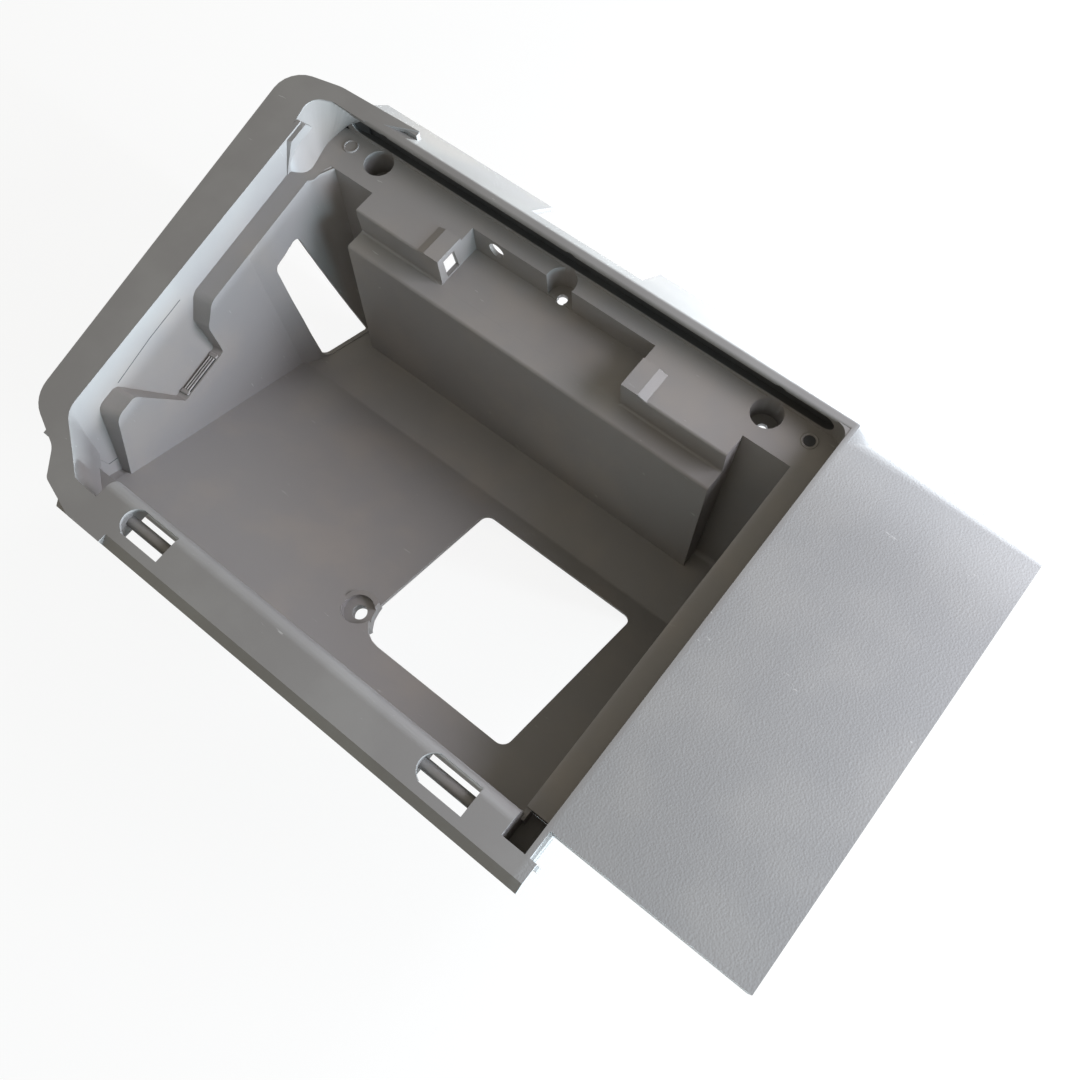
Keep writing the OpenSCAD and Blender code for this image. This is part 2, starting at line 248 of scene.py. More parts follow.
class Zone(Enum):
    """Areas of the moulding, each with its own tone in the photograph."""

    PANEL = "panel"
    RIM = "rim"
    # Painted light: the inside is the rim's plastic, toned lighter and warmer to stand in for light in the
    # box.
    INSIDE_PAINTED_LIGHT = "inside"
    # Painted shade: the channel is near black where it lies in shade.
    PAINTED_CHANNEL_SHADE = "channel"
    # Painted highlight on the panel's top roll.
    PAINTED_ROLL_HIGHLIGHT = "roll"


@dataclass(frozen=True)
class Tone:
    """Linear colour of one area.

    Attributes:
        clean: Colour of the clean plastic, with any painted light and shade of its area.
        dusty: Colour of its dusty patches.
    """

    clean: tuple[float, float, float]
    dusty: tuple[float, float, float]


TONES = {
    Zone.PANEL: Tone(clean=(0.262, 0.262, 0.264), dusty=(0.290, 0.288, 0.286)),
    # Painted highlight: the panel's top roll is lighter, standing in for the light it catches.
    Zone.PAINTED_ROLL_HIGHLIGHT: Tone(clean=(0.340, 0.342, 0.346), dusty=(0.360, 0.360, 0.360)),
    Zone.RIM: Tone(clean=(0.232, 0.225, 0.222), dusty=(0.262, 0.257, 0.252)),
    # Painted light: lighter and warmer than the rim, though it is the same plastic.
    Zone.INSIDE_PAINTED_LIGHT: Tone(clean=(0.255, 0.246, 0.244), dusty=(0.290, 0.268, 0.252)),
    # Painted shade: near black, standing in for the shade in the channel.
    Zone.PAINTED_CHANNEL_SHADE: Tone(clean=(0.045, 0.046, 0.048), dusty=(0.060, 0.060, 0.060)),
}
SCUFF = (0.55, 0.55, 0.54)


class NodeChain:
    """Short hand for laying out the nodes of one material."""

    def __init__(self, name: str) -> None:
        """Starts an empty material called name."""
        self.material = bpy.data.materials.new(name)
        self.material.use_nodes = True
        self.tree = self.material.node_tree
        self.tree.nodes.clear()
        self.output = self.tree.nodes.new("ShaderNodeOutputMaterial")

    def add(self, kind: str, **settings: object) -> bpy.types.Node:
        """Adds a node.

        Args:
            kind: Blender's name of the node type.
            **settings: Properties of the node, and its sockets' values under their names
                with underscores for spaces.

        Returns:
            The new node.
        """
        node = self.tree.nodes.new(kind)
        for key, value in settings.items():
            if hasattr(node, key):
                setattr(node, key, value)
            else:
                node.inputs[key.replace("_", " ")].default_value = value
        return node

    def link(self, source: bpy.types.NodeSocket, target: bpy.types.NodeSocket) -> None:
        """Joins two sockets."""
        self.tree.links.new(source, target)

    def ramp(self, source: bpy.types.NodeSocket, low: float, high: float) -> bpy.types.NodeSocket:
        """Stretches a value so that low becomes 0 and high becomes 1.

        Args:
            source: The value's socket.
            low: Value that becomes 0.
            high: Value that becomes 1.

        Returns:
            The socket of the stretched value.
        """
        node = self.add("ShaderNodeMapRange", interpolation_type="SMOOTHSTEP", From_Min=low, From_Max=high)
        self.link(source, node.inputs["Value"])
        return node.outputs["Result"]

    def product(self, a: bpy.types.NodeSocket, b: bpy.types.NodeSocket | float) -> bpy.types.NodeSocket:
        """Multiplies two values.

        Args:
            a: The first value's socket.
            b: The second value's socket, or a number.

        Returns:
            The socket of the product.
        """
        node = self.add("ShaderNodeMath", operation="MULTIPLY")
        self.link(a, node.inputs[0])
        if isinstance(b, (int, float)):
            node.inputs[1].default_value = b
        else:
            self.link(b, node.inputs[1])
        return node.outputs[0]

    def mixed(
        self, share: bpy.types.NodeSocket, a: bpy.types.NodeSocket | tuple, b: bpy.types.NodeSocket | tuple
    ) -> bpy.types.NodeSocket:
        """Mixes two colours.

        Args:
            share: Socket that gives the share of b.
            a: Colour, or its socket, where share is 0.
            b: Colour, or its socket, where share is 1.

        Returns:
            The socket of the mixed colour.
        """
        node = self.add("ShaderNodeMix", data_type="RGBA")
        self.link(share, node.inputs["Factor"])
        for index, colour in ((6, a), (7, b)):
            if isinstance(colour, tuple):
                node.inputs[index].default_value = (*colour, 1.0)
            else:
                self.link(colour, node.inputs[index])
        return node.outputs[2]


@dataclass(frozen=True)
class MouldedPlastic:
    """Grey interior plastic with painted light and shade: leather grain on the panel, a fine matt skin
    elsewhere.

    A pair of limits is in millimetres from the hinge corner. The area's mask is 0 at the first and
    1 at the second.

    Attributes:
        roughness: Roughness of the plastic.
        grain_cell: Width of one cell of the leather grain, in metres.
        grain_depth: Depth of the leather grain, in metres.
        skin_cell: Width of one cell of the matt skin, in metres.
        skin_depth: Depth of the fine matt skin, in metres.
        panel_limits: Limits of the panel along x.
        rim_limits: Limits of the rim along z.
        roll_highlight_limits: Limits along y of the painted highlight on the panel's top roll.
        channel_shade_sides: Limits along y of the channel's two sides, between which its shade is painted.
        channel_shade_depths: Limits along z of the channel's mouth and bottom, between which its shade is
            painted.
        dust_size: Width of the dusty patches, in metres.
        dust_range: Values of the pattern between which dust sets in.
        dust_share: Largest share of dust.
        scuff_size: Width of the scuffs, in metres.
        scuff_turn: Direction of the scuffs, in radians.
        scuff_stretch: How much longer than wide the scuffs are.
        scuff_range: Values of the pattern between which a scuff sets in.
        worn_size: Width of the worn patches that hold the scuffs, in metres.
        worn_range: Values of the pattern between which a worn patch sets in.
        scuff_share: Largest share of a scuff.
    """

    roughness: float = 0.44
    grain_cell: float = 0.95 * MM
    grain_depth: float = 0.055 * MM
    skin_cell: float = 0.8 * MM
    skin_depth: float = 0.016 * MM
    panel_limits: tuple[float, float] = (-1.5, 1.5)
    rim_limits: tuple[float, float] = (-14.0, -2.0)
    roll_highlight_limits: tuple[float, float] = (196.0, 240.0)
    channel_shade_sides: tuple[tuple[float, float], ...] = (
        (RECESS_TOP + 0.2, RECESS_TOP + 0.8),
        (RECESS_TOP + 5.0, RECESS_TOP + 4.4),
    )
    channel_shade_depths: tuple[tuple[float, float], ...] = ((-3.4, -4.4), (-15.0, -14.0))
    dust_size: float = 40 * MM
    dust_range: tuple[float, float] = (0.42, 0.72)
    dust_share: float = 0.8
    scuff_size: float = 8 * MM
    scuff_turn: float = math.radians(24)
    scuff_stretch: float = 6.0
    scuff_range: tuple[float, float] = (0.68, 0.74)
    worn_size: float = 24 * MM
    worn_range: tuple[float, float] = (0.56, 0.68)
    scuff_share: float = 0.6

    def material(self) -> bpy.types.Material:
        """Builds the material.

        Returns:
            A material that reads Object coordinates only.
        """
        chain = NodeChain("moulded_plastic")
        place = chain.add("ShaderNodeTexCoord").outputs["Object"]
        areas = self._areas(chain, place)
        shader = chain.add("ShaderNodeBsdfPrincipled", Roughness=self.roughness)
        shader.inputs["Specular IOR Level"].default_value = 0.5
        chain.link(self._colour(chain, place, areas), shader.inputs["Base Color"])
        chain.link(self._bump(chain, place, areas[Zone.PANEL]), shader.inputs["Normal"])
        chain.link(shader.outputs[0], chain.output.inputs["Surface"])
        return chain.material

    def _areas(self, chain: NodeChain, place: bpy.types.NodeSocket) -> dict[Zone, bpy.types.NodeSocket]:
        """Masks the areas of the moulding that differ from its inside: the rim, the panel, the panel's top
        roll with its painted highlight and the channel with its painted shade.

        Args:
            chain: The material's nodes.
            place: Socket of the Object coordinates.

        Returns:
            Sockets that are 1 on an area and 0 elsewhere, each to be laid over those before it.
        """
        split = chain.add("ShaderNodeSeparateXYZ")
        chain.link(place, split.inputs[0])
        x, y, z = split.outputs
        corner = hinge_corner()
        panel = self._mask(chain, x, corner.x, self.panel_limits)
        rim = self._mask(chain, z, corner.z, self.rim_limits)
        # Painted highlight: a band along the panel's top roll.
        rolled = self._mask(chain, y, corner.y, self.roll_highlight_limits)
        # Painted shade: the channel's mask, between its sides and its depths.
        sides = [self._mask(chain, y, corner.y, limits) for limits in self.channel_shade_sides]
        depths = [self._mask(chain, z, corner.z, limits) for limits in self.channel_shade_depths]
        channel = chain.product(chain.product(*sides), chain.product(*depths))
        roll = chain.product(panel, rolled)
        return {Zone.RIM: rim, Zone.PANEL: panel, Zone.PAINTED_ROLL_HIGHLIGHT: roll, Zone.PAINTED_CHANNEL_SHADE: channel}

    def _mask(
        self, chain: NodeChain, axis: bpy.types.NodeSocket, zero: float, limits: tuple[float, float]
    ) -> bpy.types.NodeSocket:
        """Masks what lies past a soft limit.

        Args:
            chain: The material's nodes.
            axis: Socket of the coordinate along one axis.
            zero: The hinge corner's place on that axis, in metres.
            limits: Where the mask is 0 and where it is 1, in millimetres from there.

        Returns:
            The socket of the mask.
        """
        start, end = (zero + limit * MM for limit in limits)
        return chain.ramp(axis, start, end)

    def _noise(
        self, chain: NodeChain, place: bpy.types.NodeSocket, size: float, detail: float
    ) -> bpy.types.NodeSocket:
        """Adds a noise pattern.

        Args:
            chain: The material's nodes.
            place: Socket of the coordinates.
            size: Width of the pattern's features, in metres.
            detail: Number of finer layers.

        Returns:
            The socket of the pattern's value.
        """
        noise = chain.add("ShaderNodeTexNoise", Scale=1.0 / size, Detail=detail)
        chain.link(place, noise.inputs["Vector"])
        return noise.outputs["Fac"]

    def _colour(
        self,
        chain: NodeChain,
        place: bpy.types.NodeSocket,
        areas: dict[Zone, bpy.types.NodeSocket],
    ) -> bpy.types.NodeSocket:
        """Colours the plastic by area, with painted light inside the box and on the panel's top roll, painted
        shade in the channel, dusty patches and thin scuffs.

        Args:
            chain: The material's nodes.
            place: Socket of the Object coordinates.
            areas: Sockets that are 1 on an area and 0 elsewhere, each laid over those before it.

        Returns:
            The socket of the colour.
        """
        # The inside's tone, with its painted light, is the base that the other areas are laid over.
        clean, dusty = TONES[Zone.INSIDE_PAINTED_LIGHT].clean, TONES[Zone.INSIDE_PAINTED_LIGHT].dusty
        for zone, share in areas.items():
            clean = chain.mixed(share, clean, TONES[zone].clean)
            dusty = chain.mixed(share, dusty, TONES[zone].dusty)
        dust = chain.ramp(self._noise(chain, place, self.dust_size, 4.0), *self.dust_range)
        plain = chain.mixed(chain.product(dust, self.dust_share), clean, dusty)
        streak = chain.add("ShaderNodeMapping", vector_type="POINT")
        streak.inputs["Rotation"].default_value = (0.0, 0.0, self.scuff_turn)
        streak.inputs["Scale"].default_value = (1.0, self.scuff_stretch, 1.0)
        chain.link(place, streak.inputs["Vector"])
        scuff = chain.ramp(self._noise(chain, streak.outputs[0], self.scuff_size, 3.0), *self.scuff_range)
        worn = chain.ramp(self._noise(chain, place, self.worn_size, 2.0), *self.worn_range)
        return chain.mixed(chain.product(chain.product(scuff, worn), self.scuff_share), plain, SCUFF)

    def _bump(
        self, chain: NodeChain, place: bpy.types.NodeSocket, panel: bpy.types.NodeSocket
    ) -> bpy.types.NodeSocket:
        """Raises the leather grain on the panel and the matt skin everywhere.

        Args:
            chain: The material's nodes.
            place: Socket of the Object coordinates.
            panel: Socket of the panel's mask.

        Returns:
            The socket of the bumped normal.
        """
        skin_bump = chain.add("ShaderNodeBump", Distance=self.skin_depth)
        chain.link(self._noise(chain, place, self.skin_cell, 3.0), skin_bump.inputs["Height"])
        cells = chain.add("ShaderNodeTexVoronoi", feature="SMOOTH_F1", Scale=1.0 / self.grain_cell)
        chain.link(place, cells.inputs["Vector"])
        grain = chain.add("ShaderNodeBump", Distance=self.grain_depth)
        chain.link(chain.product(cells.outputs["Distance"], panel), grain.inputs["Height"])
        chain.link(skin_bump.outputs[0], grain.inputs["Normal"])
        return grain.outputs[0]


@dataclass(frozen=True)
class GapShade:
    """Dark finish: painted shade on sheets put in narrow gaps and sunk marks, and the dark colour of the thin
    lines on the flank.

    Attributes:
        colour: Linear colour of the painted shade in the gaps, and of the thin lines.
        roughness: Roughness in the gaps.
        mottle_cell: Width of the mottle's features, in metres.
        mottle_lift: How many times brighter the mottle's light side is.
    """

    colour: tuple[float, float, float] = (0.035, 0.036, 0.040)
    roughness: float = 0.6
    mottle_cell: float = MM / 0.6
    mottle_lift: float = 1.5

    def material(self) -> bpy.types.Material:
        """Builds the material.

        Returns:
            A dark material with a faint mottle.
        """
        chain = NodeChain("gap_shade")
        place = chain.add("ShaderNodeTexCoord").outputs["Object"]
        mottle = chain.add("ShaderNodeTexNoise", Scale=1.0 / self.mottle_cell, Detail=2.0)
        chain.link(place, mottle.inputs["Vector"])
        shader = chain.add("ShaderNodeBsdfPrincipled", Roughness=self.roughness)
        lighter = tuple(self.mottle_lift * value for value in self.colour)
        chain.link(chain.mixed(mottle.outputs["Fac"], self.colour, lighter), shader.inputs["Base Color"])
        chain.link(shader.outputs[0], chain.output.inputs["Surface"])
        return chain.material


@dataclass
class Finisher:
    """Turns shapes into dressed pieces of the bracket.

    Attributes:
        material: Material of the pieces.
        edge_radius: Width of the softened edges, in metres.
        segments: Faces across a softened edge.
        sharp_angle: Angle from which an edge counts as sharp, in radians.
        flatness: How much the large faces decide the shading.
    """

    material: bpy.types.Material
    edge_radius: float = 0.5 * MM
    segments: int = 2
    sharp_angle: float = math.radians(30)
    flatness: int = 60

    def piece(self, name: str, shape: bmesh.types.BMesh, *cutters: bmesh.types.BMesh) -> bpy.types.Object:
        """Makes a piece of the bracket from a shape.

        Args:
            name: Name of the piece.
            shape: The shape, which is used up.
            *cutters: Solids that are cut out of it.

        Returns:
            The finished piece.
        """
        mesh = bpy.data.meshes.new(name)
        shape.to_mesh(mesh)
        shape.free()
        piece = bpy.data.objects.new(name, mesh)
        bpy.context.scene.collection.objects.link(piece)
        for cutter in cutters:
            carve(piece, cutter)
        self.dress(piece)
        return piece

    def dress(self, piece: bpy.types.Object) -> None:
        """Gives a piece its plastic, its soft edges and its body.

        Args:
            piece: The piece.
        """
        mesh = piece.data
        mesh.materials.clear()
        mesh.materials.append(self.material)
        for face in mesh.polygons:
            face.use_smooth = True
        bevel = piece.modifiers.new("soft_edges", "BEVEL")
        bevel.width = self.edge_radius
        bevel.segments = self.segments
        bevel.limit_method = "ANGLE"
        bevel.angle_limit = self.sharp_angle
        bevel.use_clamp_overlap = True
        bevel.miter_outer = "MITER_ARC"
        weigh = piece.modifiers.new("flat_faces", "WEIGHTED_NORMAL")
        weigh.weight = self.flatness
        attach(piece, "root")


@dataclass
class Corner:
    """Top left corner of the lid recess, and the wall that bends into the pocket under it.

    Attributes:
        finisher: Finisher with the plastic.
        crease: Distance from the hinge to the crease of the floor.
        pocket: Distance from the hinge to the pocket's wall, at the ledge.
        pocket_foot: The same distance at the floor.
        steps: Pieces along the bend.
        space: How far left the space behind the wall is cleared.
        square: Plan of the plain corner that the ramp takes the place of.
    """

    finisher: Finisher
    crease: float = 150.5
    pocket: float = 219.0
    pocket_foot: float = 197.0
    steps: int = 20
    space: float = -BOX_WIDTH - 60
    square: tuple[tuple[float, float], ...] = (
        (-330.3, 189.0),
        (-336.0, 228.0),
        (-338.0, 237.0),
        (-333.0, 243.9),
        (-302.0, 243.9),
        (-302.0, 189.0),
    )

    def __post_init__(self) -> None:
        """Lays out the bent wall at the ledge and at the floor."""
        wall = -BOX_WIDTH - self.crease * SIDE_SLANT
        start = (wall + 0.2, self.crease - 2)
        head = [start, (wall - 7.8, self.pocket - 14, 9), (wall - 1.6, self.pocket, 4)]
        foot = [start, (wall + 9.2, self.crease + 11, 12), (wall + 18.5, self.pocket_foot - 5, 12)]
        self.head = Path.rounded([*head, (wall + 4, self.pocket + 5)]).spaced(self.steps)
        self.foot = Path.rounded([*foot, (wall + 23, self.pocket_foot + 4)]).spaced(self.steps)
        self.wall = wall

    def _wall(self) -> bmesh.types.BMesh:
        """Lofts the bent wall.

        Returns:
            The wall, from the ledge down into the floor.
        """
        low = -FLOOR_DEPTH - 0.6 * WALL
        lines = (self.head, self.foot, self.foot.shifted(WALL), self.head.shifted(WALL))
        heights = (-RIM_DEPTH - 0.1, low, low, -RIM_DEPTH - 1)
        sections = zip(*(line.points for line in lines))
        return skin([[spot(p.x, p.y, z) for p, z in zip(section, heights)] for section in sections])

    def _space(self) -> bmesh.types.BMesh:
        """Lofts the space behind the bent wall, where the plain wall goes.

        Returns:
            The space, from under the ledge to below the floor.
        """
        under, low = -RIM_DEPTH - WALL, -FLOOR_DEPTH - 0.6 * WALL - 15
        rows = []
        for a, b in zip(self.head.points, self.foot.points):
            near = [spot(a.x + 0.2, a.y, under), spot(b.x + 0.2, b.y, low)]
            rows.append([*near, spot(self.space, b.y, low), spot(self.space, a.y, under)])
        return skin(rows)

    def _window(self) -> bmesh.types.BMesh:
        """Gives the solid that opens the side window."""
        head, foot = -38.5, -FLOOR_DEPTH + 0.6
        corners = Path.rounded(
            [
                (self.crease + 20, head),
                (self.crease + 9.5, head - 2.5, 5),
                (self.crease + 10, foot, 5),
                (self.pocket_foot - 5, foot, 1),
                (self.crease + 31, head + 2.5, 4),
                (self.crease + 20.1, head),
            ]
        )
        outline = [spot(self.wall - 34, p.x, p.y) for p in corners.points]
        return prism(outline, Vector((62 * MM, 0.0, 0.0)))

    def clear(self, housing: bpy.types.Object) -> None:
        """Takes the plain wall and the plain corner out of the housing.

        Args:
            housing: The housing.
        """
        carve(housing, self._space())
        plan = [spot(x, y, -RIM_DEPTH) for x, y in self.square]
        carve(housing, prism(plan, Vector((0.0, 0.0, (RIM_DEPTH + 3) * MM))))

    def build(self) -> list[bpy.types.Object]:
        """Makes the bent wall, the plate over it and the ramp of the corner.

        Returns:
            The pieces.
        """
        edge = rim_x(RECESS_TOP)
        wall = self.finisher.piece("bent_wall", self._wall(), self._window())
        plate = self.finisher.piece("pocket_plate", self._plate(edge))
        return [wall, plate, self.finisher.piece("corner_ramp", self._ramp(edge))]

    def _plate(self, edge: float) -> bmesh.types.BMesh:
        """Cuts the plate that closes the ledge over the bent wall.

        Args:
            edge: Inner edge of the rim at the top of the recess.

        Returns:
            The plate, whose top lies just under the ledge's own.
        """
        thick, sunk = 0.8 * WALL, 0.08
        near, far = 192.0, 227.0
        right = [(-7.6, near), (-9.0, 205.0), (-2.7, 220.0), (0.0, far)]
        plan = [(self.wall + x, y) for x, y in right] + [(edge + 2, far), (edge + 6, near)]
        outline = [spot(x, y, -RIM_DEPTH - thick) for x, y in plan]
        return prism(outline, Vector((0.0, 0.0, (thick - sunk) * MM)))

    def _ramp(self, edge: float) -> bmesh.types.BMesh:
        """Shapes the ramp that rounds the corner, from the rim down to the ledge.

        Args:
            edge: Inner edge of the rim at the top of the recess.

        Returns:
            The ramp.
        """
        start, bend = rim_x(203) - 0.2, rim_x(240)
        inner = [(start, 203.0), (bend - 5, 239.0, 9), (bend + 8, RECESS_TOP, 6), (-311.0, RECESS_TOP)]
        outer = [(edge + 7.4, 202.0), (edge + 18.5, 207.5, 7), (edge + 12.3, 229.0, 16), (edge + 13.2, 244.5)]
        head = Path.rounded(inner, 8).shifted(0.4).spaced(24)
        foot = Path.rounded(outer, 8).spaced(24)
        back = head.shifted(WALL)
        low = -RIM_DEPTH - WALL / 2
        rows = []
        for a, b, c in zip(head.points, foot.points, back.points):
            face = [spot(a.x, a.y, -0.5), spot(b.x, b.y, -RIM_DEPTH), spot(b.x, b.y, low)]
            rows.append([*face, spot(c.x, c.y, low), spot(c.x, c.y, -WALL / 2)])
        return skin(rows)


@dataclass
class BrowEnd:
    """Right end of the sloping top flange, which runs into the panel's rolled top.

    Attributes:
        finisher: Finisher with the plastic.
        start: Right end of the flange, from the hinge corner.
        width: Width of the blend.
        roll_radius: Radius of the panel's roll.
        steps: Pieces across the blend.
        points: Pieces along each section.
        square: Plan of the square corner that goes.
    """

    finisher: Finisher
    start: float = -1.5
    width: float = 16.0
    roll_radius: float = 23.0
    steps: int = 12
    points: int = 14
    square: tuple[tuple[float, float], ...] = ((-14.0, 273.0), (1.3, 265.4), (3.0, 273.0))

    def clear(self, housing: bpy.types.Object) -> None:
        """Takes the square corner off the flange.

        Args:
            housing: The housing.
        """
        plan = [spot(x, y, -26.0) for x, y in self.square]
        carve(housing, prism(plan, Vector((0.0, 0.0, 16 * MM))))

    def build(self) -> bpy.types.Object:
        """Makes the blend.

        Returns:
            The piece.
        """
        roll_y = 236.0
        flange = Path.rounded([(roll_y, -0.1), (249.0, -0.1, 6), (266.0, -14.9)]).spaced(self.points)
        roll = Path.arc((roll_y, -self.roll_radius), self.roll_radius - 0.7, 90, 28, 14).spaced(self.points)
        rows = []
        for step in range(self.steps + 1):
            share = step / self.steps
            blend = share * share * (3 - 2 * share)
            x = self.start + self.width * share
            line = [a.lerp(b, blend) for a, b in zip(flange.points, roll.points)]
            under = [spot(x, p.x - 0.6, p.y - 2.1) for p in reversed(line)]
            rows.append([spot(x, p.x, p.y) for p in line] + under)
        return self.finisher.piece("brow_end", skin(rows))


@dataclass
class LedgeDetails:
    """Small forms on the ledge: ring marks, pad ramps and the opening beside the latch recess.

    Attributes:
        finisher: Finisher with the plastic.
        shadow: Finisher with the painted shade of gaps.
        rings: Middles of the ring marks, from the hinge corner.
        ring_radius: Middle radius of a ring mark.
        bead: Radius of the ring's own section.
        pads: Outer end of each raised pad and the side it falls to.
        pad_slope: Width of a pad's ramp.
        pad_height: Height of the pads.
        pad_length: Length of the pads.
        ledge: Distance from the hinge to the ledge's edge.
    """

    finisher: Finisher
    shadow: Finisher
    rings: tuple[tuple[float, float], ...] = ((-316.5, 235.5), (-15.4, 235.8))
    ring_radius: float = 3.9
    bead: float = 0.65
    pads: tuple[tuple[float, int], ...] = ((-236.5, -1), (-96.0, 1))
    pad_slope: float = 6.0
    pad_height: float = 2.0
    pad_length: float = 19.0
    ledge: float = 205.0

    def clear(self, housing: bpy.types.Object) -> None:
        """Opens the left wall of the latch recess.

        Args:
            housing: The housing.
        """
        head, foot, start = -18.2, -32.8, -230.5
        corners = [(4.0, head), (12.8, head), (14.5, foot), (5.0, foot)]
        outline = [spot(start, self.ledge + y, z) for y, z in corners]
        carve(housing, prism(outline, Vector((5 * MM, 0.0, 0.0))))

    def build(self) -> list[bpy.types.Object]:
        """Makes the rings, the ramps and the dark disc of painted shade inside the right ring.

        Returns:
            The pieces.
        """
        made = []
        for number, (x, y) in enumerate(self.rings):
            made.append(self.finisher.piece(f"ring_mark_{number + 1}", self._ring(x, y)))
        for number, (end, side) in enumerate(self.pads):
            made.append(self.finisher.piece(f"pad_ramp_{number + 1}", self._ramp(end, side)))
        # Painted shade: a dark disc stands in for the shade in the sunk ring.
        return [*made, self.shadow.piece("ring_shade_disc", self._disc(*self.rings[1]))]

    def _ring(self, x: float, y: float) -> bmesh.types.BMesh:
        """Spins one low ring.

        Args:
            x: Middle of the ring, from the hinge corner.
            y: Middle of the ring, from the hinge corner.

        Returns:
            The ring.
        """
        shape = bmesh.new()
        turned = Matrix.Rotation(math.pi / 2, 4, "X")
        place = Matrix.Translation(spot(x + self.ring_radius, y, -RIM_DEPTH))
        bmesh.ops.create_circle(shape, segments=8, radius=self.bead * MM, matrix=place @ turned)
        bmesh.ops.spin(
            shape,
            geom=shape.verts[:] + shape.edges[:],
            cent=spot(x, y, 0),
            axis=(0, 0, 1),
            angle=2 * math.pi,
            steps=40,
            use_merge=True,
        )
        bmesh.ops.recalc_face_normals(shape, faces=shape.faces)
        return shape

    def _ramp(self, end: float, side: int) -> bmesh.types.BMesh:
        """Shapes the ramp at the outer end of a pad.

        Args:
            end: Outer end of the pad, from the hinge corner.
            side: 1 where the ramp falls to the right, -1 where it falls to the left.

        Returns:
            The ramp.
        """
        low, high = -RIM_DEPTH - 0.3, self.pad_height - RIM_DEPTH
        inner, outer = end - side * 0.5, end + side * self.pad_slope
        section = ((inner, low), (inner, high), (end, high), (outer, low))
        outline = [spot(x, self.ledge + 0.05, z) for x, z in section]
        return prism(outline, Vector((0.0, (self.pad_length - 0.05) * MM, 0.0)))

    def _disc(self, x: float, y: float) -> bmesh.types.BMesh:
        """Makes the low disc of painted shade inside a ring.

        Args:
            x: Middle of the disc, from the hinge corner.
            y: Middle of the disc, from the hinge corner.

        Returns:
            The disc.
        """
        shape = bmesh.new()
        place = Matrix.Translation(spot(x, y, -RIM_DEPTH + 0.05))
        wide, narrow, height = 3.1 * MM, 2.9 * MM, 0.3 * MM
        bmesh.ops.create_cone(
            shape, cap_ends=True, segments=40, radius1=wide, radius2=narrow, depth=height, matrix=place
        )
        return shape


@dataclass
class RightEnd:
    """Rounded right corner of the lid recess, and the walls that close the pocket at the beam's right end.

    Attributes:
        finisher: Finisher with the plastic.
        gap: Right edge of the opening, from the hinge corner.
        radius: Radius of the recess's corner.
        pocket_low: Floor of the pocket, below the rim.
        pocket_high: Top of the pocket's walls, below the rim.
        pocket_left: Left end of the pocket, from the hinge corner.
        pocket_back: Distance from the hinge to the pocket's back wall.
    """

    finisher: Finisher
    gap: float = -1.5
    radius: float = 7.0
    pocket_low: float = -36.0
    pocket_high: float = -17.5
    pocket_left: float = -15.2
    pocket_back: float = 17.2

    def build(self) -> list[bpy.types.Object]:
        """Makes the corner and the two walls.

        Returns:
            The pieces.
        """
        side = self._box((self.gap + 0.1, -2.0), (self.gap + 0.1 + WALL * 0.9, self.pocket_back + 1))
        back = self._box((self.pocket_left, self.pocket_back), (self.gap + 1, self.pocket_back + 1.8))
        shapes = {"recess_rounding": self._rounding(), "pocket_side": side, "pocket_back": back}
        return [self.finisher.piece(name, shape) for name, shape in shapes.items()]

    def _rounding(self) -> bmesh.types.BMesh:
        """Fills the recess's square corner up to its rounding.

        Returns:
            The filling.
        """
        foot, side, top = self.gap - self.radius, self.gap + 0.9, RECESS_TOP + 0.3
        bend = Path.arc((foot, RECESS_TOP - self.radius), self.radius, 0, 90, 12).points
        corner = [(p.x, p.y) for p in bend] + [(foot, top), (side, top), (side, RECESS_TOP - self.radius)]
        outline = [spot(x, y, -RIM_DEPTH - 1) for x, y in corner]
        return prism(outline, Vector((0.0, 0.0, (RIM_DEPTH + 0.8) * MM)))

    def _box(self, near: tuple[float, float], far: tuple[float, float]) -> bmesh.types.BMesh:
        """Makes one upright wall of the pocket.

        Args:
            near: Corner of its plan nearest to the hinge.
            far: The opposite corner.

        Returns:
            The wall.
        """
        corners = [near, (far[0], near[1]), far, (near[0], far[1])]
        outline = [spot(x, y, self.pocket_low) for x, y in corners]
        return prism(outline, Vector((0.0, 0.0, (self.pocket_high - self.pocket_low) * MM)))


